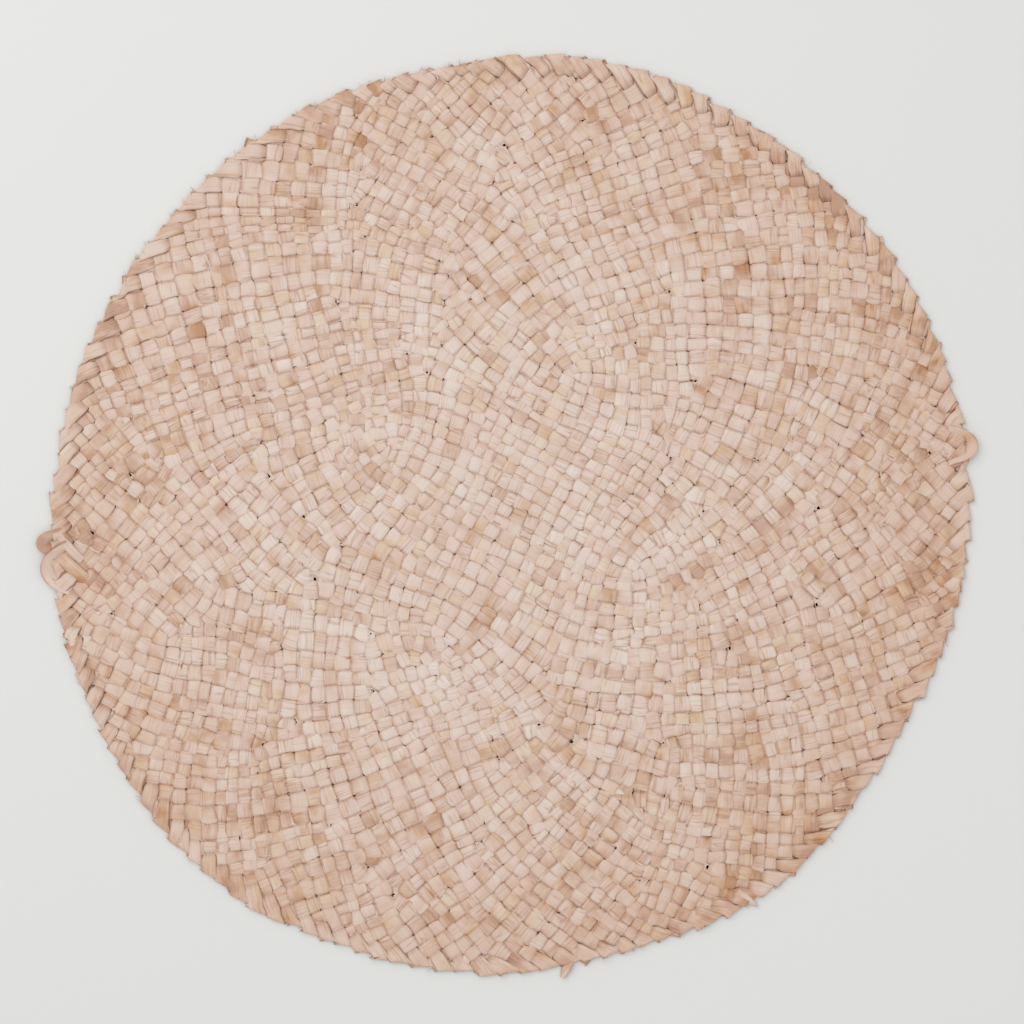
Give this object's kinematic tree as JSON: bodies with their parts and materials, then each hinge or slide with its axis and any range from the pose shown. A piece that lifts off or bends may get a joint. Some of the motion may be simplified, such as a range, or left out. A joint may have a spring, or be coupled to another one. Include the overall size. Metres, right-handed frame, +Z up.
{
  "type": "round plaited placemat",
  "caption": "Round flat placemat plaited from leaf strips, with a slanted folded rim, an uneven edge and small slack loops.",
  "frame": {"origin": "centre of the mat's flat underside", "axes": "+Z up out of the mat's top, the mat lies on the XY plane and +Y is the top of the picture"},
  "size_m": [0.3909, 0.3825, 0.0026],
  "materials": {
    "leaf": "dry plaited leaf strips, matt, pale tan"
  },
  "bodies": {
    "root": {"mat": "leaf"}
  },
  "joints": []
}
